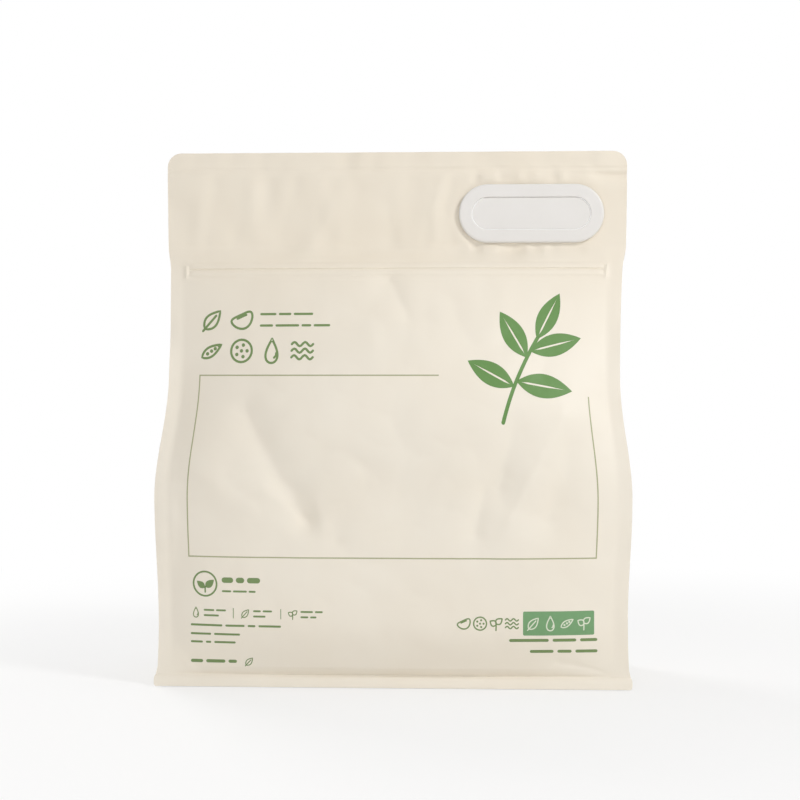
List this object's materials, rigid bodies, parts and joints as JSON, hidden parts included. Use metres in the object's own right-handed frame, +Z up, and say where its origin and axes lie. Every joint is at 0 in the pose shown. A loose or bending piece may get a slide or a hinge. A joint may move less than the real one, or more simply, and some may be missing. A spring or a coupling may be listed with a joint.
{
  "type": "cat litter bag",
  "caption": "Filled flat-bottom film pouch with folded sides, sealed edges, a press-to-close strip and a clip-on oval handle with a push-in flap.",
  "frame": {"origin": "on the floor, under the middle of the pouch's base", "axes": "+Z up, +X to the right as seen from the front, the front faces -Y"},
  "size_m": [0.3, 0.1288, 0.341],
  "materials": {
    "film": "soft matt laminated film, cream",
    "handle": "satin moulded white plastic",
    "ink": "matt green print",
    "fine_ink": "matt pale green print"
  },
  "bodies": {
    "pouch": {"pouch": "film", "handle_front_ring": "handle", "handle_back_ring": "handle", "printed_frame_line": "fine_ink", "printed_leaf_mark": "ink", "printed_label_field": "ink"},
    "flap": {"handle_flap": "handle"}
  },
  "joints": [
    {"name": "flap_hinge", "type": "hinge", "parent": "pouch", "child": "flap", "pos_m": [0.088, -0.0035, 0.3101], "axis": [1, 0, 0], "range_deg": [0, 85]}
  ]
}
